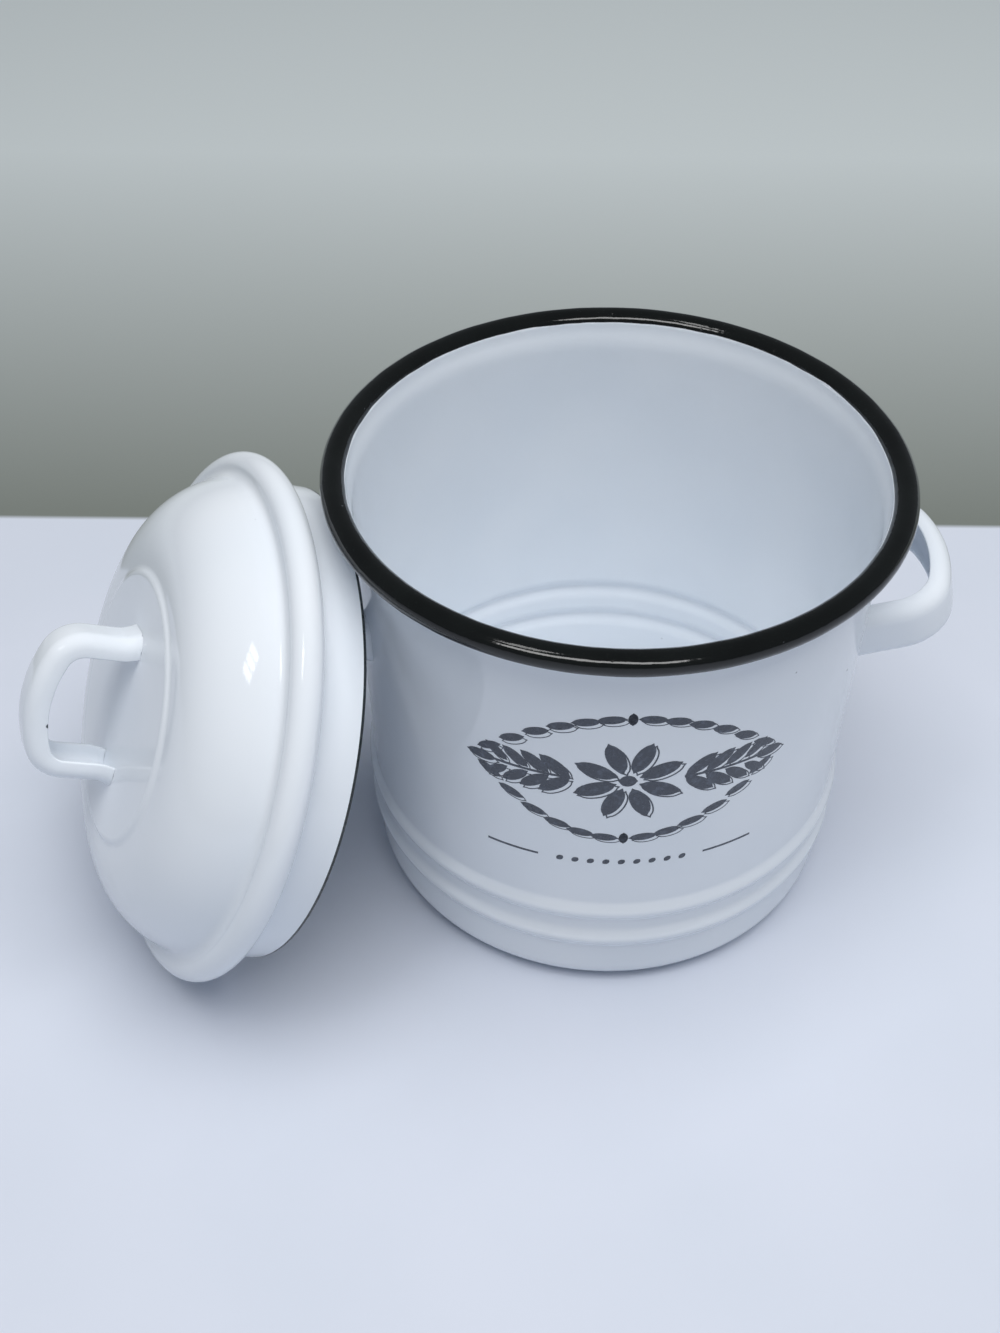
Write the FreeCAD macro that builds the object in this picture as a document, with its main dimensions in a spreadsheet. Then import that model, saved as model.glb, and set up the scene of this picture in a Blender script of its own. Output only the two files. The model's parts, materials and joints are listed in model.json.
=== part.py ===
# Enamelled steel grease keeper: an open pot with two ear handles, and its lift-off lid,
# which stands beside the pot and leans on its wall. Millimetres and degrees, +Z up.
# The origin is the centre of the pot's base, the ears lie along X and the front faces -Y.
import FreeCAD, Part
import math
import os
import Sketcher

Vector = FreeCAD.Vector
ORIGIN = -1
FRONT_VIEW = FreeCAD.Rotation(Vector(1, 0, 0), 90)
doc = FreeCAD.newDocument("GreaseKeeper")
sizes = doc.addObject("Spreadsheet::Sheet", "Sizes")

# Driving dimensions
DIMENSIONS = (
    ("sheet_gauge", 1.0),
    ("rim_overhang", 5.7),
    ("rim_roll", 2.8),
    ("rim_height", 110.1),
    ("lip_inset", 2.4),
    ("flare_height", 7.0),
    ("flare_bend", 12.0),
    ("mouth_radius", 59.3),
    ("foot_radius", 56.6),
    ("base_corner", 6.0),
    ("base_disc_radius", 47.0),
    ("base_step", 0.8),
    ("base_step_slope", 1.6),
    ("lower_bead_height", 18.2),
    ("bead_pitch", 9.8),
    ("bead_half_height", 2.6),
    ("bead_rise", 1.3),
    ("ear_height", 79.0),
    ("ear_tilt", 14.0),
    ("ear_projection", 19.4),
    ("ear_half_span", 21.5),
    ("ear_bow", 42.0),
    ("ear_bend", 13.0),
    ("ear_foot_bend", 3.6),
    ("ear_foot_tip", 1.2),
    ("ear_width", 12.5),
    ("ear_flange", 4.6),
    ("ear_edge_bend", 2.4),
    ("lid_clearance", 3.1),
    ("lid_edge_band", 0.8),
    ("lid_skirt_straight", 3.0),
    ("lid_neck_inset", 0.5),
    ("lid_neck_drop", 1.7),
    ("lid_bead_inset", 4.0),
    ("lid_bead_roll", 2.5),
    ("lid_bead_height", 15.0),
    ("lid_step_inset", 5.6),
    ("lid_step_rise", 2.8),
    ("lid_dome_inset", 6.6),
    ("lid_dome_rise", 1.4),
    ("lid_dome_bend", 23.0),
    ("lid_dome_depth", 15.8),
    ("lid_panel_radius", 30.5),
    ("lid_crease_width", 2.0),
    ("lid_crease_drop", 0.8),
    ("grip_reach", 22.0),
    ("grip_turn", 17.6),
    ("grip_half_span", 17.5),
    ("grip_bow", 32.0),
    ("grip_bend", 9.0),
    ("grip_foot_bend", 3.0),
    ("grip_foot_tip", 1.0),
    ("grip_width", 11.0),
    ("grip_flange", 3.6),
    ("grip_edge_bend", 2.2),
    ("lean_angle", 24.0),
    ("lean_turn", 197.0),
    ("lean_offset", -7.9),
    ("lean_gap", 0.3),
)
for row, (alias, size) in enumerate(DIMENSIONS, start=1):
    sizes.set(f"A{row}", alias)
    sizes.set(f"B{row}", str(size))
    sizes.setAlias(f"B{row}", alias)
doc.recompute()


def value(expression):
    """The number that an expression in the sheet's aliases stands for."""
    return float(sizes.evalExpression(expression))


def bind(item, path, expression):
    """Tie one property of an object to the sheet."""
    item.setExpression(path, expression)


def aliased(expression):
    """The expression with every alias written as a cell of the sheet."""
    words = sorted((alias for alias, _ in DIMENSIONS), key=len, reverse=True)
    for number, word in enumerate(words):
        expression = expression.replace(word, f"@{number}@")
    for number, word in enumerate(words):
        expression = expression.replace(f"@{number}@", f"Sizes.{word}")
    return expression


def measure(sketch, kind, first, expression):
    """Add one dimension to a sketch and tie it to the sheet."""
    cells = aliased(expression)
    number = sketch.addConstraint(Sketcher.Constraint(kind, *first, value(cells)))
    bind(sketch, f"Constraints[{number}]", cells)


def bent_through(start, end, radius):
    """The middle point of an arc that turns left from start to end when the radius is positive."""
    half = (end - start) * 0.5
    side = Vector(half.y, -half.x, 0).normalize() * math.copysign(1.0, radius)
    rise = abs(radius) - math.sqrt(radius * radius - half.Length ** 2)
    return start + half + side * rise


def end_at(sketch, edge, point):
    """1 or 2, as the edge starts or ends at the point."""
    near = (sketch.getPoint(edge, 1) - point).Length
    far = (sketch.getPoint(edge, 2) - point).Length
    return 1 if near < far else 2


def draw(sketch, stations, closed=False):
    """Draw a line through stations (across, up, bend): a bend makes the run that reaches it an arc."""
    points = [Vector(value(aliased(across)), value(aliased(up)), 0) for across, up, _ in stations]
    runs = list(zip(range(len(stations)), range(1, len(stations))))
    if closed:
        runs.append((len(stations) - 1, 0))
    for edge, (here, there) in enumerate(runs):
        start, end = points[here], points[there]
        bend = stations[there][2]
        if bend is None:
            sketch.addGeometry(Part.LineSegment(start, end), False)
        else:
            middle = bent_through(start, end, value(aliased(bend)))
            sketch.addGeometry(Part.Arc(start, middle, end), False)
            measure(sketch, "Radius", (edge,), f"abs({bend})")
        pin_station(sketch, edge, start, stations[here])
        if edge > 0:
            join(sketch, edge - 1, edge, start)
    last = len(runs) - 1
    if closed:
        join(sketch, last, 0, points[0])
    else:
        pin_station(sketch, last, points[-1], stations[-1])


def pin_station(sketch, edge, point, station):
    """Hold one end of an edge at a station's place."""
    end = end_at(sketch, edge, point)
    measure(sketch, "DistanceX", (ORIGIN, 1, edge, end), station[0])
    measure(sketch, "DistanceY", (ORIGIN, 1, edge, end), station[1])


def join(sketch, first, second, point):
    """Make two edges share a point."""
    ends = (first, end_at(sketch, first, point), second, end_at(sketch, second, point))
    sketch.addConstraint(Sketcher.Constraint("Coincident", *ends))


def pressed_sheet(name, stations):
    """Sheet metal spun round Z: its outside line, thickened inwards by the gauge and revolved."""
    line = doc.addObject("Sketcher::SketchObject", f"{name}_line")
    line.Placement = FreeCAD.Placement(Vector(), FRONT_VIEW)
    draw(line, stations)
    doc.recompute()
    section = doc.addObject("Part::Offset2D", f"{name}_section")
    section.Source = line
    section.Mode = "Skin"
    section.Join = "Intersection"
    section.Fill = True
    bind(section, "Value", "Sizes.sheet_gauge")
    solid = doc.addObject("Part::Revolution", f"{name}_solid")
    solid.Source = section
    solid.Axis = Vector(0, 0, 1)
    solid.Angle = 360
    solid.Solid = True
    return solid


def origin_plane(body, role):
    """One of a body's own origin planes."""
    return next(item for item in body.Origin.OriginFeatures if item.Role == role)


def body_sketch(body, name, role):
    """An empty sketch on one of a body's origin planes."""
    sketch = body.newObject("Sketcher::SketchObject", name)
    sketch.AttachmentSupport = (origin_plane(body, role), [""])
    sketch.MapMode = "FlatFace"
    return sketch


def strap_route(body, kind, reach, seat, splay):
    """Half of a strap's outer line: bowed top, round corner, leg, and a foot that turns out to its seat."""
    half_span = value(aliased(f"{kind}_half_span"))
    bow = value(aliased(f"{kind}_bow"))
    corner = value(aliased(f"{kind}_bend"))
    foot = value(aliased(f"{kind}_foot_bend"))
    tip = value(aliased(f"{kind}_foot_tip"))
    turn = math.pi / 2 - math.radians(value(aliased(splay)))
    rise = half_span - corner
    bow_centre = Vector(value(aliased(reach)) - bow, 0, 0)
    corner_centre = bow_centre + Vector(math.sqrt((bow - corner) ** 2 - rise ** 2), rise, 0)
    sweep = math.atan2(rise, corner_centre.x - bow_centre.x)
    away = Vector(math.sin(turn), math.cos(turn), 0)
    along = Vector(-math.cos(turn), math.sin(turn), 0)
    foot_y = half_span + foot
    foot_x = (value(aliased(seat)) + foot - foot_y * away.y) / away.x
    foot_centre = Vector(foot_x, foot_y, 0)
    foot_end = foot_centre - away * foot
    sketch = body_sketch(body, f"{kind}_route", "XY_Plane")
    up = Vector(0, 0, 1)
    quarter = math.pi / 2
    sketch.addGeometry(Part.ArcOfCircle(Part.Circle(bow_centre, up, bow), 0, sweep), False)
    sketch.addGeometry(Part.ArcOfCircle(Part.Circle(corner_centre, up, corner), sweep, quarter), False)
    leg_end = foot_centre - Vector(0, foot, 0)
    sketch.addGeometry(Part.LineSegment(corner_centre + Vector(0, corner, 0), leg_end), False)
    foot_from = math.atan2(-away.y, -away.x) % (2 * math.pi)
    sketch.addGeometry(Part.ArcOfCircle(Part.Circle(foot_centre, up, foot), foot_from, 3 * quarter), False)
    sketch.addGeometry(Part.LineSegment(foot_end, foot_end + along * tip), False)
    sketch.addConstraint(Sketcher.Constraint("PointOnObject", 0, 3, ORIGIN))
    sketch.addConstraint(Sketcher.Constraint("PointOnObject", 0, 1, ORIGIN))
    sketch.addConstraint(Sketcher.Constraint("Tangent", 0, 2, 1, 1))
    sketch.addConstraint(Sketcher.Constraint("Tangent", 1, 2, 2, 1))
    sketch.addConstraint(Sketcher.Constraint("Tangent", 2, 2, 3, 2))
    sketch.addConstraint(Sketcher.Constraint("Tangent", 3, 1, 4, 1))
    sketch.addConstraint(Sketcher.Constraint("Horizontal", 2))
    measure(sketch, "DistanceX", (ORIGIN, 1, 0, 1), reach)
    measure(sketch, "DistanceY", (ORIGIN, 1, 2, 1), f"{kind}_half_span")
    measure(sketch, "Radius", (0,), f"{kind}_bow")
    measure(sketch, "Radius", (1,), f"{kind}_bend")
    measure(sketch, "Radius", (3,), f"{kind}_foot_bend")
    measure(sketch, "Distance", (4,), f"{kind}_foot_tip")
    measure(sketch, "Distance", (ORIGIN, 1, 4), seat)
    number = sketch.addConstraint(Sketcher.Constraint("Angle", 2, 2, 4, 1, math.pi - turn))
    bind(sketch, f"Constraints[{number}]", aliased(f"90 deg + {splay}"))
    return sketch


def strap_section(body, kind, reach):
    """The strap's channel: a web with rounded edges and two flanges that face inwards."""
    flange = f"{reach} - {kind}_flange"
    half, bend, gauge = f"{kind}_width / 2", f"{kind}_edge_bend", "sheet_gauge"
    inner_bend = f"({bend} - {gauge})"
    stations = (
        (flange, f"0 - {half}", None),
        (f"{reach} - {bend}", f"0 - {half}", None),
        (reach, f"{bend} - {half}", bend),
        (reach, f"{half} - {bend}", None),
        (f"{reach} - {bend}", half, bend),
        (flange, half, None),
        (flange, f"{half} - {gauge}", None),
        (f"{reach} - {bend}", f"{half} - {gauge}", None),
        (f"{reach} - {gauge}", f"{half} - {bend}", f"0 - {inner_bend}"),
        (f"{reach} - {gauge}", f"{bend} - {half}", None),
        (f"{reach} - {bend}", f"{gauge} - {half}", f"0 - {inner_bend}"),
        (flange, f"{gauge} - {half}", None),
    )
    sketch = body_sketch(body, f"{kind}_section", "XZ_Plane")
    draw(sketch, stations, closed=True)
    return sketch


def strap(name, kind, reach, seat, splay):
    """A bent channel strap, symmetric about its middle."""
    body = doc.addObject("PartDesign::Body", f"{name}_strap")
    route = strap_route(body, kind, reach, seat, splay)
    section = strap_section(body, kind, reach)
    doc.recompute()
    pipe = body.newObject("PartDesign::AdditivePipe", f"{name}_half")
    pipe.Profile = section
    pipe.Spine = (route, [f"Edge{number}" for number in range(1, 6)])
    pipe.Transition = "Transformed"
    doc.recompute()
    mirrored = body.newObject("PartDesign::Mirrored", f"{name}_whole")
    mirrored.Originals = [pipe]
    mirrored.MirrorPlane = (origin_plane(body, "XZ_Plane"), [""])
    body.Tip = mirrored
    return body


def trimmed(name, base, tool):
    """A piece with the shape of what it is seated on taken off it."""
    cut = doc.addObject("Part::Cut", f"{name}_trimmed")
    cut.Base = base
    cut.Tool = tool
    return cut


# Pot shell: one drawn cup that stands on a flat base disc, with two beads and a flared mouth
RIM = "(mouth_radius + rim_overhang)"
WALL_FOOT = "(base_step + base_corner)"
WALL_SLOPE = f"(mouth_radius - foot_radius) / (rim_height - flare_height - {WALL_FOOT})"


def wall_radius(height):
    """The plain wall's outer radius at a height, as an expression."""
    return f"(foot_radius + {WALL_SLOPE} * ({height} - {WALL_FOOT}))"


def bead_stations(middle):
    """A bead pressed outwards in the wall."""
    low = f"({middle} - bead_half_height)"
    high = f"({middle} + bead_half_height)"
    bend = "((bead_half_height ^ 2 + bead_rise ^ 2) / (2 * bead_rise))"
    return ((wall_radius(low), low, None), (wall_radius(high), high, bend))


upper_bead = "(lower_bead_height + bead_pitch)"
pot_shell = pressed_sheet("pot_shell", (
    ("0", "0", None),
    ("base_disc_radius", "0", None),
    ("base_disc_radius + base_step_slope", "base_step", None),
    ("foot_radius - base_corner", "base_step", None),
    ("foot_radius", WALL_FOOT, "base_corner"),
    *bead_stations("lower_bead_height"),
    *bead_stations(upper_bead),
    ("mouth_radius", "rim_height - flare_height", None),
    (f"{RIM} - rim_roll - lip_inset / 2", "rim_height - lip_inset / 2", "0 - flare_bend"),
))

# Rim bead: the rolled edge, closed round the shell's lip
rim_roll = doc.addObject("Part::Torus", "rim_roll")
bind(rim_roll, "Radius1", aliased(f"{RIM} - rim_roll"))
bind(rim_roll, "Radius2", "Sizes.rim_roll")
bind(rim_roll, "Placement.Base.z", "Sizes.rim_height")
rim_bead = trimmed("rim_bead", rim_roll, pot_shell)

# Ear handles: two channel straps whose feet lie on the wall
ear_wall = wall_radius("ear_height")
wall_form = doc.addObject("Part::Cone", "wall_form")
bind(wall_form, "Radius1", "Sizes.foot_radius")
bind(wall_form, "Radius2", "Sizes.mouth_radius")
bind(wall_form, "Height", aliased(f"rim_height - flare_height - {WALL_FOOT}"))
bind(wall_form, "Placement.Base.z", aliased(WALL_FOOT))


def ear(name, turn):
    """One ear handle, turned about the pot's axis."""
    reach, seat = f"({ear_wall} + ear_projection)", f"({ear_wall} + sheet_gauge)"
    body = strap(name, "ear", reach, seat, f"asin(ear_half_span / {ear_wall})")
    drop = f"{ear_wall} * (1 - cos(ear_tilt))"
    lift = f"ear_height - {ear_wall} * sin(ear_tilt)"
    raised = f"placement(vector({drop}; 0; {lift}); rotation(0; 0 - ear_tilt; 0))"
    bind(body, "Placement", aliased(f"placement(vector(0; 0; 0); rotation({turn}; 0; 0)) * {raised}"))
    return trimmed(name, body, wall_form)


right_handle = ear("right_handle", 0)
left_handle = ear("left_handle", 180)

# Lid shell: skirt that drops into the mouth, neck, the bead that sits on the rim, step, dome and panel
SKIRT = "(mouth_radius - sheet_gauge - lid_clearance)"
BEAD = f"({RIM} - lid_bead_inset)"
STEP_HEIGHT = "(lid_bead_height + lid_step_rise)"
PANEL_HEIGHT = f"({STEP_HEIGHT} + lid_dome_rise + lid_dome_depth)"
lid_shell = pressed_sheet("lid_shell", (
    (SKIRT, "lid_edge_band", None),
    (SKIRT, "lid_edge_band + lid_skirt_straight", None),
    (f"{SKIRT} - lid_neck_inset", "lid_bead_height - lid_bead_roll - lid_neck_drop", None),
    (f"{BEAD} - lid_bead_roll", "lid_bead_height - lid_bead_roll", None),
    (BEAD, "lid_bead_height", "lid_bead_roll"),
    (f"{BEAD} - lid_bead_roll", "lid_bead_height + lid_bead_roll", "lid_bead_roll"),
    (f"{BEAD} - lid_step_inset", STEP_HEIGHT, None),
    (f"{BEAD} - lid_dome_inset", f"{STEP_HEIGHT} + lid_dome_rise", None),
    ("lid_panel_radius + lid_crease_width", f"{PANEL_HEIGHT} - lid_crease_drop", "lid_dome_bend"),
    ("lid_panel_radius", PANEL_HEIGHT, None),
    ("0", PANEL_HEIGHT, None),
))

# Where the lid stands: on its lowest edge, with the top of its skirt on the pot's wall, or on
# the rim where the pot is too low for that
LEAN_UP = "sin(lean_angle)"
LEAN_OUT = "cos(lean_angle)"
on_skirt = f"{SKIRT} * {LEAN_OUT}"
on_bead = f"(({BEAD} - lid_bead_roll) * {LEAN_OUT} + lid_bead_roll - lid_bead_height * {LEAN_UP})"
lid_up = f"max({on_skirt}; {on_bead})"
touch_height = f"({lid_up} + {on_skirt})"
touch_radius = f"({touch_height} < rim_height - flare_height ? {wall_radius(touch_height)} : {RIM})"
lid_out = f"({touch_radius} + lean_gap + {SKIRT} * {LEAN_UP})"
lid_x = f"{lid_out} * cos(lean_turn) - lean_offset * sin(lean_turn)"
lid_y = f"{lid_out} * sin(lean_turn) + lean_offset * cos(lean_turn)"
lid_stand = aliased(f"placement(vector({lid_x}; {lid_y}; {lid_up}); rotation(lean_turn; 90 - lean_angle; 0))")
bind(lid_shell, "Placement", lid_stand)

# Lid edge: the dark band of enamel that closes the skirt's cut edge
lid_edge = doc.addObject("Part::Cut", "lid_edge_ring")
edge_outside = doc.addObject("Part::Cylinder", "edge_outside")
edge_inside = doc.addObject("Part::Cylinder", "edge_inside")
bind(edge_outside, "Radius", aliased(SKIRT))
bind(edge_inside, "Radius", aliased(f"{SKIRT} - sheet_gauge"))
for cylinder in (edge_outside, edge_inside):
    bind(cylinder, "Height", "Sizes.lid_edge_band")
    bind(cylinder, "Placement", lid_stand)
lid_edge.Base = edge_outside
lid_edge.Tool = edge_inside

# Lid handle: a smaller channel strap whose feet lie on the flat panel
lid_strap = strap("lid_handle", "grip", "grip_reach", "sheet_gauge", "0 deg")
panel_form = doc.addObject("Part::Cylinder", "panel_form")
bind(panel_form, "Radius", "Sizes.lid_panel_radius")
bind(panel_form, "Height", aliased(PANEL_HEIGHT))
bind(panel_form, "Placement", lid_stand)
on_panel = aliased(f"placement(vector(0; 0; {PANEL_HEIGHT}); rotation(grip_turn; 0; 0))")
upright = "placement(vector(0; 0; 0); rotation(vector(1; 1; 1); 0 - 120))"
bind(lid_strap, "Placement", f"{lid_stand} * {on_panel} * {upright}")
lid_handle = trimmed("lid_handle", lid_strap, panel_form)

NODES = {
    "pot_shell": pot_shell,
    "rim_bead": rim_bead,
    "right_handle": right_handle,
    "left_handle": left_handle,
    "lid_shell": lid_shell,
    "lid_edge": lid_edge,
    "lid_handle": lid_handle,
}
for label, piece in NODES.items():
    piece.Label = label
doc.recompute()

failed = [item.Name for item in doc.Objects if {"Invalid", "Error"} & set(item.State)]
failed += [label for label, piece in NODES.items() if piece.Shape.isNull() or not piece.Shape.isValid()]
if failed:
    raise RuntimeError("not built: " + ", ".join(failed))
os.makedirs("parts", exist_ok=True)
for label, piece in NODES.items():
    piece.Shape.exportStep(f"parts/{label}.step")
    print(f"{label}: {len(piece.Shape.Solids)} solid, {piece.Shape.Volume:.0f} mm3")
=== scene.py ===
import json
import math
import bpy
from mathutils import Matrix, Vector


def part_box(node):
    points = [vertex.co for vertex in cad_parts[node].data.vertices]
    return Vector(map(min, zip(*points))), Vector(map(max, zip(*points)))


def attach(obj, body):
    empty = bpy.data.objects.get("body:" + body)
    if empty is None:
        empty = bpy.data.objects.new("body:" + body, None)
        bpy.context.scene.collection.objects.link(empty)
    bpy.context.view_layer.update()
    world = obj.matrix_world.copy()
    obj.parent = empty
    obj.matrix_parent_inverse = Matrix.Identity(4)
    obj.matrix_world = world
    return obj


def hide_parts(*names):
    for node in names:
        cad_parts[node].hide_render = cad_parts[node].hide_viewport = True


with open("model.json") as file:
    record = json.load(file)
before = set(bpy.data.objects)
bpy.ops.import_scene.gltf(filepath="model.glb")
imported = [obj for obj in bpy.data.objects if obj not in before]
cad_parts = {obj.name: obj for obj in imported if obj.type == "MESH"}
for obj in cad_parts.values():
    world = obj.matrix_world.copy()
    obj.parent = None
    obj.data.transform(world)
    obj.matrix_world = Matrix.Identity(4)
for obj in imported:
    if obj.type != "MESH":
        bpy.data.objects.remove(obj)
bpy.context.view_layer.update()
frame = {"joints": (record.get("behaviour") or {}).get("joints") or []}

# Pot shell
# One cup drawn from 1 mm steel sheet under white porcelain enamel: a flat base disc, a round
# corner, two beads pressed outwards low on the wall, and a mouth that flares up into the rim.
MM = 0.001
ROUND_STEPS = 256
sheet_gauge = 1.0
rim_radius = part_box("rim_bead")[1].x / MM
rim_roll = 2.8
rim_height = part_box("rim_bead")[1].z / MM - rim_roll
lip_radius = rim_radius - 2 * rim_roll + sheet_gauge + 0.02
flare_start = rim_height - 7.0
flare_turn, flare_bend = (59.85, 107.0), 16.0
foot_radius, mouth_radius = 56.6, 59.3
base_disc_radius, base_step, base_corner = 47.0, 0.8, 6.0
step_run, step_bend = 0.8, 2.0
wall_foot = base_step + base_corner
bead_heights, beads_end = (18.2, 28.0), 34
bead_half_height, bead_rise = 3.6, 1.3


def wall_radius(height):
    """The wall's outer radius at a height, beads included, in millimetres."""
    slope = (mouth_radius - foot_radius) / (flare_start - wall_foot)
    radius = foot_radius + slope * (height - wall_foot)
    for middle in bead_heights:
        away = abs(height - middle) / bead_half_height
        if away < 1:
            radius += bead_rise * (0.5 + 0.5 * math.cos(math.pi * away))
    return radius


def bend(start, end, radius, steps):
    """Points of an arc after its start; it turns left from start to end when the radius is positive."""
    start, end = Vector(start), Vector(end)
    half = (end - start) / 2
    reach = math.sqrt(radius * radius - half.length_squared) * math.copysign(1, radius)
    centre = start + half + Vector((-half.y, half.x)).normalized() * reach
    turn = 2 * math.asin(half.length / abs(radius)) * math.copysign(1, radius) / steps
    arm = start - centre
    return [tuple(centre + Matrix.Rotation(turn * step, 2) @ arm) for step in range(1, steps + 1)]


def start_piece(name):
    """Name the piece that was just added, and its mesh."""
    piece = bpy.context.object
    piece.name = name
    piece.data.name = name
    return piece


def raised_rings(name, line):
    """A round wall raised ring by ring: from a filled disc, or a band when its line ends where it began."""
    bpy.ops.object.select_all(action="DESELECT")
    (across, up), rest = line[0], line[1:]
    band = line[0] == line[-1]
    bpy.ops.mesh.primitive_circle_add(
        vertices=ROUND_STEPS, radius=across * MM, fill_type="NOTHING" if band else "TRIFAN",
        location=(0, 0, up * MM))
    piece = start_piece(name)
    bpy.ops.object.mode_set(mode="EDIT")
    bpy.ops.mesh.select_mode(type="EDGE")
    bpy.ops.mesh.select_all(action="SELECT" if band else "DESELECT")
    if not band:
        bpy.ops.mesh.select_non_manifold()
    for new_across, new_up in rest:
        bpy.ops.mesh.extrude_region_move(TRANSFORM_OT_translate={"value": (0, 0, (new_up - up) * MM)})
        growth = new_across / across
        bpy.ops.transform.resize(value=(growth, growth, 1), center_override=(0, 0, 0))
        across, up = new_across, new_up
    if band:
        bpy.ops.mesh.select_all(action="SELECT")
        bpy.ops.mesh.remove_doubles(threshold=0.001 * MM)
        bpy.ops.mesh.normals_make_consistent(inside=False)
    bpy.ops.object.mode_set(mode="OBJECT")
    bpy.ops.object.transform_apply(location=True, rotation=True, scale=True)
    return piece


def modify(piece, kind, **settings):
    """Add one modifier and apply it."""
    bpy.ops.object.select_all(action="DESELECT")
    piece.select_set(True)
    bpy.context.view_layer.objects.active = piece
    modifier = piece.modifiers.new(kind.title(), kind)
    for setting, amount in settings.items():
        setattr(modifier, setting, amount)
    bpy.ops.object.modifier_apply(modifier=modifier.name)


def smooth(piece, degrees):
    """Shade smooth, except over edges sharper than an angle."""
    bpy.ops.object.select_all(action="DESELECT")
    piece.select_set(True)
    bpy.context.view_layer.objects.active = piece
    bpy.ops.object.shade_smooth_by_angle(angle=math.radians(degrees))


def linear(code):
    """An sRGB hex colour as the linear colour that shaders use."""
    parts = [int(code[place:place + 2], 16) / 255 for place in (1, 3, 5)]
    levels = [part / 12.92 if part <= 0.04045 else ((part + 0.055) / 1.055) ** 2.4 for part in parts]
    return (*levels, 1.0)


def add_node(tree, kind, settings=None, inputs=None, links=None):
    """A node with its settings, input values and links from other nodes' outputs."""
    node = tree.nodes.new(kind)
    for setting, amount in (settings or {}).items():
        setattr(node, setting, amount)
    for socket, amount in (inputs or {}).items():
        node.inputs[socket].default_value = amount
    for socket, output in (links or {}).items():
        tree.links.new(output, node.inputs[socket])
    return node


def new_material(name):
    """An empty material's node tree with its Principled shader and Object coordinates."""
    material = bpy.data.materials.new(name)
    material.use_nodes = True
    tree = material.node_tree
    shader = tree.nodes["Principled BSDF"]
    place = add_node(tree, "ShaderNodeTexCoord").outputs["Object"]
    return material, tree, shader, place


def grain(tree, place, size_mm, detail=2.0):
    """Noise whose lumps are about size_mm across."""
    return add_node(tree, "ShaderNodeTexNoise", inputs={"Scale": 1 / (size_mm * MM), "Detail": detail},
                    links={"Vector": place}).outputs["Fac"]


def span(tree, fac, low, high, out_low=0.0, out_high=1.0):
    """Map a value from one range to another, held at both ends."""
    return add_node(tree, "ShaderNodeMapRange",
                    inputs={"From Min": low, "From Max": high, "To Min": out_low, "To Max": out_high},
                    links={"Value": fac}).outputs["Result"]


def colour_mix(tree, fac, low, high):
    """A mix of two colours, each a hex code or another node's output."""
    node = add_node(tree, "ShaderNodeMix", {"data_type": "RGBA"}, links={"Factor": fac})
    for socket, colour in ((node.inputs[6], low), (node.inputs[7], high)):
        if isinstance(colour, str):
            socket.default_value = linear(colour)
        else:
            tree.links.new(colour, socket)
    return node.outputs[2]


def times(tree, first, second):
    """The product of two values."""
    node = add_node(tree, "ShaderNodeMath", {"operation": "MULTIPLY"}, links={0: first, 1: second})
    return node.outputs[0]


def less(tree, first, second):
    """The first value less the second; either may be a number."""
    terms = {0: first, 1: second}
    inputs = {socket: term for socket, term in terms.items() if isinstance(term, float)}
    links = {socket: term for socket, term in terms.items() if socket not in inputs}
    return add_node(tree, "ShaderNodeMath", {"operation": "SUBTRACT"}, inputs, links).outputs[0]


def bumped(tree, shader, layers):
    """Chain bump layers (height, depth in millimetres) into the shader's normal."""
    normal = None
    for height, depth in layers:
        node = add_node(tree, "ShaderNodeBump", inputs={"Strength": 1.0, "Distance": depth * MM},
                        links={"Height": height})
        if normal:
            tree.links.new(normal, node.inputs["Normal"])
        normal = node.outputs["Normal"]
    tree.links.new(normal, shader.inputs["Normal"])


# Vitreous enamel: ground glass fused on steel. It is smooth and glossy, with the faint
# orange peel of glass that flowed as it was fired, and a rare dark speck of ground coat.
def enamel_colour(tree, place, speck_share=0.003, speck_mm=2.6, speck_reach=0.09):
    """White enamel's colour: slow variation, and specks of ground coat that show through."""
    ground = colour_mix(tree, span(tree, grain(tree, place, 34, 1), 0.35, 0.65), "#F0F5FB", "#EBF1F8")
    cells = add_node(tree, "ShaderNodeTexVoronoi", inputs={"Scale": 1 / (speck_mm * MM)},
                     links={"Vector": place})
    dot = span(tree, cells.outputs["Distance"], speck_reach, speck_reach + 0.05, 1.0, 0.0)
    chosen = add_node(tree, "ShaderNodeSeparateColor", links={"Color": cells.outputs["Color"]})
    rare = span(tree, chosen.outputs["Red"], speck_share, speck_share + 0.001, 1.0, 0.0)
    both = times(tree, dot, rare)
    return colour_mix(tree, both, ground, "#3B4247"), both


def enamel_surface(tree, shader, place, specks):
    """White enamel's gloss and its orange peel."""
    shader.inputs["IOR"].default_value = 1.52
    tree.links.new(span(tree, grain(tree, place, 12, 2), 0.3, 0.7, 0.06, 0.10), shader.inputs["Roughness"])
    bumped(tree, shader, ((grain(tree, place, 9, 1), 0.03), (specks, -0.05)))


pot_line = [(3, 0), (base_disc_radius, 0)]
pot_line += bend(pot_line[-1], (base_disc_radius + step_run, base_step / 2), step_bend, 3)
pot_line += bend(pot_line[-1], (base_disc_radius + 2 * step_run, base_step), -step_bend, 3)
pot_line += [(foot_radius - base_corner, base_step)]
pot_line += bend(pot_line[-1], (foot_radius, wall_foot), base_corner, 14)
WALL_STEP = 0.45
wall_rings = int((beads_end - wall_foot) / WALL_STEP)
pot_line += [(wall_radius(wall_foot + WALL_STEP * ring), wall_foot + WALL_STEP * ring)
             for ring in range(1, wall_rings)]
pot_line += [(wall_radius(height), height) for height in (40, 55, 70, 85, 96, flare_start)]
pot_line += bend(pot_line[-1], flare_turn, -flare_bend, 5)
pot_line += bend(flare_turn, (lip_radius, rim_height + 0.2), flare_bend, 5)
pot = raised_rings("pot_cup", pot_line)
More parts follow.
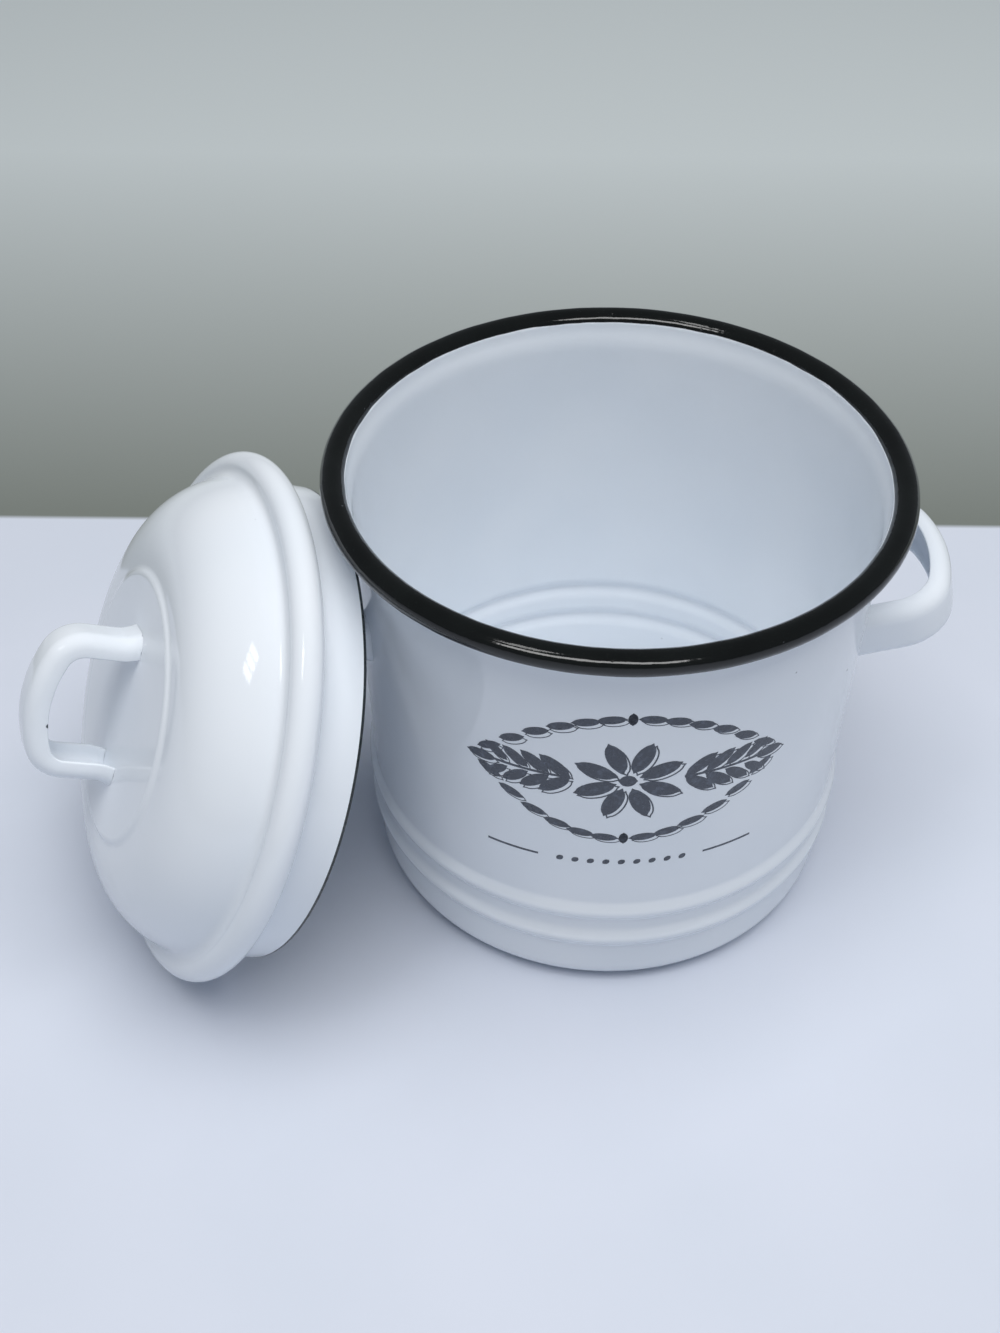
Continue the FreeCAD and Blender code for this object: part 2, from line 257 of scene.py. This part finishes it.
modify(pot, "SOLIDIFY", thickness=sheet_gauge * MM, offset=1.0, use_even_offset=True)
smooth(pot, 40)


def round_the_roll(tree, place):
    """A point's distance from the middle of the roll, and its angle there: 0 inside, 90 degrees on top."""
    flat = add_node(tree, "ShaderNodeVectorMath", {"operation": "MULTIPLY"}, {1: (1, 1, 0)}, {0: place})
    reach = add_node(tree, "ShaderNodeVectorMath", {"operation": "LENGTH"}, links={0: flat.outputs[0]})
    height = add_node(tree, "ShaderNodeSeparateXYZ", links={0: place}).outputs["Z"]
    inwards = less(tree, (rim_radius - rim_roll) * MM, reach.outputs["Value"])
    rise = less(tree, height, rim_height * MM)
    pair = add_node(tree, "ShaderNodeCombineXYZ", links={0: inwards, 1: rise}).outputs[0]
    away = add_node(tree, "ShaderNodeVectorMath", {"operation": "LENGTH"}, links={0: pair}).outputs["Value"]
    angle = add_node(tree, "ShaderNodeMath", {"operation": "ARCTAN2"}, links={0: rise, 1: inwards})
    return away, angle.outputs[0]


white_wall, tree, shader, place = new_material("white porcelain enamel, pot wall")
# The black rim coat ends just under the roll on the outside, and its edge wanders by some tenths.
away, angle = round_the_roll(tree, place)
wander = span(tree, grain(tree, place, 6, 3), 0.3, 0.7, 2.95 * MM, 3.35 * MM)
bare = less(tree, away, wander)
near_roll = span(tree, bare, 0, 0.1 * MM, 1.0, 0.0)
outside = span(tree, angle, math.radians(-60), math.radians(-56), 1.0, 0.0)
coated = times(tree, near_roll, outside)
white, specks = enamel_colour(tree, place, 0.0006)
tree.links.new(colour_mix(tree, coated, white, "#0C0F0F"), shader.inputs["Base Color"])
enamel_surface(tree, shader, place, specks)
pot.data.materials.append(white_wall)
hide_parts("pot_shell")
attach(pot, "pot")

# Rim bead
# The cup's edge rolled outwards into a closed bead and dipped in black enamel, which
# flowed a little unevenly before it was fired.
flow_size, flow_depth = 6.0, 0.12
bpy.ops.object.select_all(action="DESELECT")
bpy.ops.mesh.primitive_torus_add(
    major_segments=ROUND_STEPS, minor_segments=36, major_radius=(rim_radius - rim_roll) * MM,
    minor_radius=rim_roll * MM, location=(0, 0, rim_height * MM))
rim = start_piece("rolled_rim")
bpy.ops.object.transform_apply(location=True, rotation=True, scale=True)
flow = bpy.data.textures.new("enamel flow", "CLOUDS")
flow.noise_scale = flow_size * MM
# The high middle level only sinks the surface, so the coat stays inside the roll's size.
modify(rim, "DISPLACE", texture=flow, texture_coords="GLOBAL", strength=flow_depth * MM, mid_level=0.95)
smooth(rim, 60)
# Black enamel has a deep gloss. Slow waves and a few fine pits break up its highlights, and
# the white coat of the inside comes a little way up the roll, to a wandering edge.
black_coat, tree, shader, place = new_material("black enamel, dipped rim")
away, angle = round_the_roll(tree, place)
wander = span(tree, grain(tree, place, 14, 2), 0.3, 0.7, math.radians(8), math.radians(17))
past = less(tree, angle, wander)
low_side = span(tree, angle, math.radians(-97), math.radians(-95))
inner_coat = times(tree, span(tree, past, 0, math.radians(2), 1.0, 0.0), low_side)
black = colour_mix(tree, span(tree, grain(tree, place, 12), 0.3, 0.7), "#050706", "#0B0E0D")
tree.links.new(colour_mix(tree, inner_coat, black, "#F0F4F9"), shader.inputs["Base Color"])
shader.inputs["IOR"].default_value = 1.52
tree.links.new(span(tree, grain(tree, place, 5, 3), 0.3, 0.7, 0.06, 0.12), shader.inputs["Roughness"])
pores = add_node(tree, "ShaderNodeTexVoronoi", inputs={"Scale": 1 / (3.0 * MM)}, links={"Vector": place})
pit = span(tree, pores.outputs["Distance"], 0.04, 0.09, 1.0, 0.0)
bumped(tree, shader, ((grain(tree, place, 3.5, 3), 0.08), (pit, -0.06)))
rim.data.materials.append(black_coat)
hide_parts("rim_bead")
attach(rim, "pot")

# Ear handles
# Each ear is one strip of 1 mm sheet pressed to a channel and bent to a bow with round corners.
# Its legs flare a little where they meet the wall; they are welded there and enamelled white.
def pick(piece, kind, test):
    """In edit mode, select only the vertices or edges that pass a test."""
    if bpy.context.mode != "OBJECT":
        bpy.ops.object.mode_set(mode="OBJECT")
    bpy.ops.object.select_all(action="DESELECT")
    piece.select_set(True)
    bpy.context.view_layer.objects.active = piece
    bpy.ops.object.mode_set(mode="EDIT")
    bpy.ops.mesh.select_mode(type=kind)
    bpy.ops.mesh.select_all(action="DESELECT")
    bpy.ops.object.mode_set(mode="OBJECT")
    for item in piece.data.vertices if kind == "VERT" else piece.data.edges:
        item.select = test(item)
    bpy.ops.object.mode_set(mode="EDIT")


def strap(name, reach, leg_end, half_span, bow, corner, foot, flare, width, flange, edge, lean=0.0):
    """A bent channel strap: out is +X, the span is Y and the width Z; its legs flare and run on inwards."""
    bpy.ops.object.select_all(action="DESELECT")
    bpy.ops.mesh.primitive_plane_add(size=1, rotation=(math.radians(90), 0, 0),
                                     location=((reach - flange / 2) * MM, 0, 0))
    piece = start_piece(name)
    piece.scale = (flange * MM, width * MM, 1)
    bpy.ops.object.transform_apply(location=True, rotation=True, scale=True)
    pick(piece, "VERT", lambda vertex: vertex.co.x > (reach - 0.1) * MM)
    bpy.ops.mesh.bevel(offset=edge * MM, segments=8, affect="VERTICES")
    bpy.ops.mesh.select_all(action="SELECT")
    bpy.ops.mesh.delete(type="ONLY_FACE")
    inner = (reach - flange + 0.1) * MM
    pick(piece, "EDGE", lambda line: all(piece.data.vertices[end].co.x < inner for end in line.vertices))
    bpy.ops.mesh.delete(type="EDGE")
    bpy.ops.mesh.select_all(action="SELECT")
    rise = half_span - corner
    bow_middle = reach - bow
    corner_middle = bow_middle + math.sqrt((bow - corner) ** 2 - rise ** 2)
    sweep = math.atan2(rise, corner_middle - bow_middle)
    # The section is spun round the bow's middle, then round the corner's.
    turns = ((10, sweep, bow_middle, 0), (14, math.pi / 2 - sweep, corner_middle, rise))
    for steps, angle, out, aside in turns:
        bpy.ops.mesh.spin(steps=steps, angle=-angle, axis=(0, 0, 1), center=(out * MM, aside * MM, 0))
    for run in range(3):
        step = (leg_end - corner_middle) / 3 * MM
        bpy.ops.mesh.extrude_region_move(TRANSFORM_OT_translate={"value": (step, 0, 0)})
    bpy.ops.mesh.spin(steps=8, angle=flare, axis=(0, 0, 1),
                      center=(leg_end * MM, (half_span + foot) * MM, 0))
    tip = 2.2 * MM
    bpy.ops.mesh.extrude_region_move(TRANSFORM_OT_translate={
        "value": (-math.cos(flare) * tip, math.sin(flare) * tip, 0)})
    bpy.ops.object.mode_set(mode="OBJECT")
    # A leaning strap's legs are cut to a slanted wall: their width shears outwards towards the ends.
    for vertex in piece.data.vertices:
        down = min(max((corner_middle + 3 - vertex.co.x / MM) / (corner_middle + 1 - leg_end), 0), 1)
        vertex.co.x += vertex.co.z * math.tan(lean) * down * down * (3 - 2 * down)
    modify(piece, "MIRROR", use_axis=(False, True, False), merge_threshold=0.01 * MM)
    bpy.ops.object.mode_set(mode="EDIT")
    bpy.ops.mesh.select_all(action="SELECT")
    bpy.ops.mesh.remove_doubles(threshold=0.002 * MM)
    bpy.ops.mesh.normals_make_consistent(inside=False)
    bpy.ops.object.mode_set(mode="OBJECT")
    top = max(piece.data.polygons, key=lambda face: face.center.x)
    if top.normal.x < 0:
        bpy.ops.object.mode_set(mode="EDIT")
        bpy.ops.mesh.flip_normals()
        bpy.ops.object.mode_set(mode="OBJECT")
    modify(piece, "SOLIDIFY", thickness=sheet_gauge * MM, offset=-1.0, use_even_offset=True)
    modify(piece, "BEVEL", width=0.38 * MM, segments=3, limit_method="ANGLE", angle_limit=math.radians(50))
    return piece


def put(piece, place):
    """Move a finished shape to its place, with the move taken into its mesh."""
    bpy.ops.object.select_all(action="DESELECT")
    piece.select_set(True)
    bpy.context.view_layer.objects.active = piece
    piece.matrix_world = place
    bpy.ops.object.transform_apply(location=True, rotation=True, scale=True)


ear_height, ear_tilt, ear_reach = 79.0, math.radians(14), 19.4
ear_wall = wall_radius(ear_height)
form_low, form_high = 40, 103
for side, turn in (("right", 0), ("left", math.pi)):
    ear = strap(f"{side}_ear", reach=ear_wall + ear_reach, leg_end=ear_wall - 3.2, half_span=21.5, bow=42,
                corner=13, foot=5, flare=math.radians(34), width=12.5, flange=4.6, edge=3.4, lean=ear_tilt)
    tilted = (Matrix.Rotation(turn, 4, "Z")
              @ Matrix.Translation((ear_wall * (1 - math.cos(ear_tilt)) * MM, 0,
                                    (ear_height - ear_wall * math.sin(ear_tilt)) * MM))
              @ Matrix.Rotation(-ear_tilt, 4, "Y"))
    put(ear, tilted)
    bpy.ops.object.select_all(action="DESELECT")
    bpy.ops.mesh.primitive_cone_add(
        vertices=ROUND_STEPS, radius1=wall_radius(form_low) * MM, radius2=wall_radius(form_high) * MM,
        depth=(form_high - form_low) * MM, location=(0, 0, (form_low + form_high) / 2 * MM))
    wall_form = start_piece("wall_form")
    modify(ear, "BOOLEAN", object=wall_form, operation="DIFFERENCE", solver="EXACT")
    bpy.data.objects.remove(wall_form)
    smooth(ear, 40)
    # The ears have the pot's white enamel; specks show more on bent sheet.
    coat, tree, shader, place = new_material(f"white porcelain enamel, {side} ear")
    white, specks = enamel_colour(tree, place, 0.004)
    tree.links.new(white, shader.inputs["Base Color"])
    enamel_surface(tree, shader, place, specks)
    ear.data.materials.append(coat)
    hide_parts(f"{side}_handle")
    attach(ear, "pot")

# Printed garland
# A plain leaf pattern in slate ink, printed on the front of the wall before the last firing:
# a rosette between two sprays, leaf bands above and below, and dots between two short rules.
PRINT_LIFT = 0.045
rosette_height, rosette_reach = 73, 7.4
band_heights, dots_height = (90.0, 56.0), 46.2
shade_shift = 0.75


def leaf_form(name, hollow):
    """One leaf lying along X, one unit long: filled, or only its outline."""
    bpy.ops.object.select_all(action="DESELECT")
    bpy.ops.mesh.primitive_circle_add(vertices=24, radius=0.5, fill_type="TRIFAN")
    leaf = start_piece(name)
    bpy.ops.object.mode_set(mode="EDIT")
    bpy.ops.transform.resize(value=(1, 0.42, 1), center_override=(0, 0, 0))
    for side in (-1, 1):
        pick(leaf, "VERT", lambda vertex: vertex.co.x * side > 0.49)
        bpy.ops.transform.translate(value=(side * 0.07, 0, 0))
    bpy.ops.mesh.select_all(action="SELECT")
    bpy.ops.mesh.select_mode(type="FACE")
    if hollow:
        bpy.ops.mesh.inset(thickness=0.035)
        bpy.ops.mesh.delete(type="FACE")
    else:
        bpy.ops.mesh.subdivide(number_cuts=1)
    bpy.ops.object.mode_set(mode="OBJECT")
    return leaf


def stamp(form, across, up, turn, long, wide=1.0):
    """A copy of a form on the flat drawing, in millimetres and degrees."""
    copy = bpy.data.objects.new(form.name, form.data.copy())
    bpy.context.scene.collection.objects.link(copy)
    copy.matrix_world = (Matrix.Translation((across * MM, up * MM, 0))
                         @ Matrix.Rotation(math.radians(turn), 4, "Z")
                         @ Matrix.Diagonal((long * MM, long * wide * MM, MM, 1)))
    drawing.append(copy)


def shaded_leaf(across, up, turn, long, wide=1.0):
    """A filled leaf with a thin outline that stands a little low and to the right of it."""
    stamp(filled, across, up, turn, long, wide)
    stamp(outline, across + shade_shift, up - shade_shift, turn, long, wide)


drawing = []
filled, outline = leaf_form("filled_leaf", False), leaf_form("leaf_outline", True)
for petal in range(8):
    angle = 45 * petal + 22.5
    across = rosette_reach * math.cos(math.radians(angle))
    shaded_leaf(across, rosette_height + rosette_reach * math.sin(math.radians(angle)), angle, 8.6, 1.1)
stamp(filled, 0, rosette_height, 0, 3.6, 2.2)
for side in (-1, 1):
    facing = 0 if side > 0 else 180
    for step, long in enumerate((7.6, 7.2, 6.6, 5.8)):
        across = side * (15.5 + 4.3 * step)
        for tilt in (1, -1):
            turn = facing + side * tilt * 38
            shaded_leaf(across, rosette_height + tilt * 2.9, turn, long)
    shaded_leaf(side * 32.0, rosette_height, facing, 6.4)
    for row, middle in zip((1, -1), band_heights):
        for step in range(6):
            across = side * (4.2 + 5.2 * step)
            lean = side * row * (7 + 4.2 * step)
            up = middle + row * (1.6 - 0.085 * across * across / 5.2)
            shaded_leaf(across, up, facing - lean, 5.6, 0.95)
        stamp(filled, 0, middle + row * 1.6, 90, 3.2, 1.5)
for dot in range(-4, 5):
    stamp(filled, 3.4 * dot, dots_height, 45, 1.7, 2.0)
bpy.ops.object.select_all(action="DESELECT")
bpy.ops.mesh.primitive_grid_add(x_subdivisions=14, y_subdivisions=1, size=1)
rule = start_piece("short_rule")
for side in (-1, 1):
    stamp(rule, side * 24.5, dots_height, 0, 12.0, 0.05)
    stamp(rule, side * 21.0, rosette_height, 0, 18.0, 0.035)
for form in (filled, outline, rule):
    bpy.data.objects.remove(form)

bpy.ops.object.select_all(action="DESELECT")
for copy in drawing:
    copy.select_set(True)
bpy.context.view_layer.objects.active = drawing[0]
bpy.ops.object.join()
garland = start_piece("printed_garland")
bpy.ops.object.transform_apply(location=True, rotation=True, scale=True)
for vertex in garland.data.vertices:
    across, up = vertex.co.x / MM, vertex.co.y / MM
    radius = wall_radius(up)
    out = (radius + PRINT_LIFT) * MM
    vertex.co = (out * math.sin(across / radius), -out * math.cos(across / radius), up * MM)
modify(garland, "SOLIDIFY", thickness=0.06 * MM, offset=-1.0)
smooth(garland, 60)
# Ceramic ink is duller than the enamel under it, and fine grains of it are worn lighter.
ink, tree, shader, place = new_material("slate ceramic ink, fired")
worn = span(tree, grain(tree, place, 1.4, 4), 0.52, 0.72)
tree.links.new(colour_mix(tree, worn, "#434955", "#596170"), shader.inputs["Base Color"])
shader.inputs["IOR"].default_value = 1.5
tree.links.new(span(tree, grain(tree, place, 2), 0.3, 0.7, 0.22, 0.34), shader.inputs["Roughness"])
garland.data.materials.append(ink)
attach(garland, "pot")

# Lid shell
# One round of 1 mm sheet, drawn and domed: a flat panel with a soft shoulder, the dome, a
# valley, a rolled bead that rests on the pot's rim, and a skirt that drops into the mouth.
lid_axis = Vector(frame["joints"][0]["axis"])
edge_low, edge_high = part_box("lid_edge")
lid_seat = (Vector(edge_low) + Vector(edge_high)) / 2 - lid_axis * 0.4 * MM
lid_turn, lid_tilt = math.radians(197), math.radians(66)
lid_place = (Matrix.Translation(lid_seat) @ Matrix.Rotation(lid_turn, 4, "Z")
             @ Matrix.Rotation(lid_tilt, 4, "Y"))
panel_height = 35.0
dome_top, dome_foot, dome_bend = (33.2, 34.2), (54.2, 19.5), 23.0
roll_top, roll_side, roll_foot, roll_bend = (57.4, 18.0), (61.0, 14.4), (59.2, 11.3), 3.6


def softened(line):
    """A line (across, up, soft length): each corner with a length is rounded over that length each way."""
    points = [line[0][:2]]
    for before, here, after in zip(line, line[1:], line[2:]):
        corner = Vector(here[:2])
        if not here[2]:
            points.append(tuple(corner))
            continue
        start = corner + (Vector(before[:2]) - corner).normalized() * here[2]
        end = corner + (Vector(after[:2]) - corner).normalized() * here[2]
        for step in range(9):
            part = step / 8
            point = start * (1 - part) ** 2 + corner * 2 * part * (1 - part) + end * part ** 2
            points.append(tuple(point))
    return points + [line[-1][:2]]


# The dome's arc is drawn from its foot; its last steps there give way to the soft valley.
dome = bend(dome_foot, dome_top, dome_bend, 22)[1:-1]
lid_line = softened(
    [(4, panel_height, 0), (30.3, panel_height, 0.7), (31.6, 34.25, 0.7), (*dome_top, 0)]
    + [(across, up, 0) for across, up in reversed(dome)]
    + [(54.9, 17.5, 2.2), (*roll_top, 0)])
lid_line += bend(roll_top, roll_side, -roll_bend, 14) + bend(roll_side, roll_foot, -roll_bend, 8)
lid_line += softened([(*roll_foot, 0), (57.6, 10.9, 0.6), (54.9, 11.3, 1.0), (54.8, 8.0, 1.6),
                      (55.15, 3.8, 0), (55.2, 0.8, 0)])[1:]
lid = raised_rings("domed_lid", lid_line)
modify(lid, "SOLIDIFY", thickness=sheet_gauge * MM, offset=-1.0, use_even_offset=True)
put(lid, lid_place)
smooth(lid, 50)
# The lid has the pot's white enamel, with a few more specks.
coat, tree, shader, place = new_material("white porcelain enamel, lid")
white, specks = enamel_colour(tree, place, 0.0015)
tree.links.new(white, shader.inputs["Base Color"])
enamel_surface(tree, shader, place, specks)
lid.data.materials.append(coat)
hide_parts("lid_shell")
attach(lid, "lid")

# Lid edge
# The skirt's cut edge, where the white coat thins and the blue-black ground coat shows as a
# fine dark line right round.
edge = raised_rings("skirt_edge", [(55.2, 0.8), (55.2, 0.35), (55.05, 0.1), (54.7, 0), (54.35, 0.1),
                                   (54.2, 0.35), (54.2, 0.8), (54.7, 0.82), (55.2, 0.8)])
put(edge, lid_place)
smooth(edge, 60)
# Ground coat is a thin first layer of enamel: nearly black, a little uneven and half gloss.
ground_coat, tree, shader, place = new_material("blue-black ground coat, skirt edge")
tree.links.new(colour_mix(tree, span(tree, grain(tree, place, 3, 3), 0.3, 0.7), "#1A2023", "#2C3438"),
               shader.inputs["Base Color"])
shader.inputs["IOR"].default_value = 1.52
tree.links.new(span(tree, grain(tree, place, 2), 0.3, 0.7, 0.2, 0.4), shader.inputs["Roughness"])
edge.data.materials.append(ground_coat)
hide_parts("lid_edge")
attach(edge, "lid")

# Lid handle
# A smaller strap of the same channel, its legs flared where they stand on the panel, welded and
# enamelled white; knocks have chipped its coat to the dark ground in a few spots.
grip_turn, panel_clearance = math.radians(17.6), 0.02
grip = strap("lid_grip", reach=22, leg_end=4.4, half_span=17.5, bow=32, corner=9, foot=8,
             flare=math.radians(36), width=11, flange=5.0, edge=3.2)
bpy.ops.object.select_all(action="DESELECT")
grip.select_set(True)
bpy.ops.object.mode_set(mode="EDIT")
bpy.ops.mesh.select_all(action="SELECT")
bpy.ops.mesh.bisect(plane_co=(panel_clearance * MM, 0, 0), plane_no=(1, 0, 0), clear_inner=True,
                    use_fill=True)
bpy.ops.object.mode_set(mode="OBJECT")
upright = Matrix(((0, 1, 0, 0), (0, 0, 1, 0), (1, 0, 0, 0), (0, 0, 0, 1)))
on_panel = Matrix.Translation((0, 0, panel_height * MM)) @ Matrix.Rotation(grip_turn, 4, "Z")
put(grip, lid_place @ on_panel @ upright)
smooth(grip, 40)
# The same white enamel, with larger specks that stand for the chips.
coat, tree, shader, place = new_material("white porcelain enamel with chips, lid handle")
white, specks = enamel_colour(tree, place, 0.25, 4.2, 0.10)
tree.links.new(white, shader.inputs["Base Color"])
enamel_surface(tree, shader, place, specks)
grip.data.materials.append(coat)
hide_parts("lid_handle")
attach(grip, "lid")

# Floor, backdrop, lamps and camera
# A pale matte floor whose far part is painted grey as a backdrop, with painted shade that darkens it
# towards the table's edge, under one wide soft lamp, three small ones that give the lid its highlight, and
# a strip that only the dark rim reflects.
table_end, table_slant = 0.1205, 0.032
bpy.ops.object.select_all(action="DESELECT")
bpy.ops.mesh.primitive_plane_add(size=6, location=(0, 0, 0))
floor = start_piece("pale_floor")
floor_paint, tree, shader, place = new_material("pale matte table, grey beyond")
table = colour_mix(tree, span(tree, grain(tree, place, 60, 2), 0.3, 0.7), "#DDE2EE", "#D9DFEB")
far = add_node(tree, "ShaderNodeVectorMath", {"operation": "DOT_PRODUCT"}, {1: (table_slant, 1, 0)},
               {0: place}).outputs["Value"]
# The backdrop's grey is painted shade near the table's edge: it is darkest there and pales further away, as
# a falloff of light.
grey_backdrop_with_painted_shade = colour_mix(tree, span(tree, far, 0.125, 0.38), "#7F847E", "#D2D9DA")
beyond = span(tree, far, table_end, table_end + 0.002)
tree.links.new(colour_mix(tree, beyond, table, grey_backdrop_with_painted_shade), shader.inputs["Base Color"])
shader.inputs["Roughness"].default_value = 0.6
floor.data.materials.append(floor_paint)


pot_middle = Vector((0, 0, 0.06))


def lamp(name, azimuth, elevation, distance, size, glow):
    """A soft rectangular lamp seen in a direction from the pot; its power follows from its glow."""
    light = bpy.data.lights.new(name, "AREA")
    light.shape = "RECTANGLE"
    light.size, light.size_y = size
    light.energy = glow * math.pi * size[0] * size[1]
    holder = bpy.data.objects.new(name, light)
    bpy.context.scene.collection.objects.link(holder)
    turn, lift = math.radians(azimuth), math.radians(elevation)
    facing = Vector((math.cos(turn) * math.cos(lift), math.sin(turn) * math.cos(lift), math.sin(lift)))
    holder.location = pot_middle + facing * distance
    holder.rotation_euler = facing.to_track_quat("Z", "Y").to_euler()
    return holder


# The ceiling softbox only fills: dark gloss would otherwise turn grey all round.
ceiling = lamp("ceiling softbox", -58, 79, 1.4, (1.3, 1.2), 3.95)
ceiling.visible_glossy = False
for step in range(3):
    lamp(f"small softbox {step + 1}", -137, 56.2 + 4.9 * step, 1.5, (0.25, 0.1), 6.0)
# The strip gives the dark rim its long highlight along the front, and lights nothing else.
strip = lamp("rim strip", -101, 42, 1.2, (1.2, 0.28), 7.0)
strip.visible_diffuse = False
rim_only = bpy.data.collections.new("rim strip receivers")
rim_only.objects.link(rim)
strip.light_linking.receiver_collection = rim_only

world = bpy.data.worlds.new("soft room")
world.use_nodes = True
world.node_tree.nodes["Background"].inputs["Color"].default_value = linear("#D9E2EC")
world.node_tree.nodes["Background"].inputs["Strength"].default_value = 0.22
bpy.context.scene.world = world
bpy.context.scene.view_settings.view_transform = "Standard"

PHOTO_HEIGHT = 1333
focal_pixels = 1626.6
look_down, look_aside = 0.753, -0.0159
camera_data = bpy.data.cameras.new("camera")
camera_data.sensor_fit = "VERTICAL"
camera_data.lens = camera_data.sensor_height * focal_pixels / PHOTO_HEIGHT
camera = bpy.data.objects.new("camera", camera_data)
bpy.context.scene.collection.objects.link(camera)
camera.location = (-0.0303, -0.2884, 0.3216)
camera.rotation_euler = (math.pi / 2 - look_down, 0, look_aside)
bpy.context.scene.camera = camera
